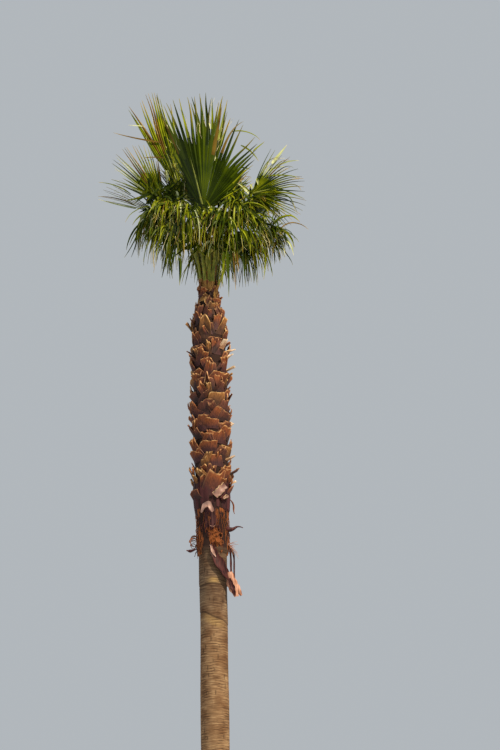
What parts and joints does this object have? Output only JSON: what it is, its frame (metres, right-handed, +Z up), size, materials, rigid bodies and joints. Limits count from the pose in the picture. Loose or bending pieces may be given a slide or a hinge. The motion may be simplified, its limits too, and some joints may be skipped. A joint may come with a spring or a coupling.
{
  "type": "fan palm tree",
  "caption": "Tall slender fan palm with a flared foot, ringed bark, a sleeve of old cut leaf bases, a torn hanging leaf base and a small loose crown of fan leaves.",
  "frame": {"origin": "centre of the trunk's flat cut face at ground level", "axes": "+Z up along the trunk from the ground, +X to the right and +Y away from the viewer as the picture shows the palm"},
  "size_m": [2.2949, 1.8373, 12.4897],
  "materials": {
    "bark": "rough ringed bark below, fibrous leaf bases above",
    "dry_leaf": "dry brown fibrous sheath",
    "frond": "satin green leaf"
  },
  "bodies": {
    "root": {"trunk": "bark", "torn_leaf_base": "dry_leaf", "dry_stub": "dry_leaf", "sheath_scrap": "dry_leaf", "frond_front": "frond", "frond_upper_left": "frond", "frond_top": "frond", "frond_left": "frond", "frond_right": "frond", "frond_upper_right": "frond", "frond_right_low": "frond", "frond_front_right_low": "frond", "frond_front_left_low": "frond", "frond_front_right_mid": "frond", "frond_front_left_mid": "frond", "frond_front_low": "frond", "frond_left_low": "frond", "frond_left_mid": "frond", "frond_back_left": "frond", "frond_back_right": "frond", "frond_back": "frond", "frond_back_left_low": "frond", "frond_back_right_low": "frond", "frond_back_low": "frond"}
  },
  "joints": []
}
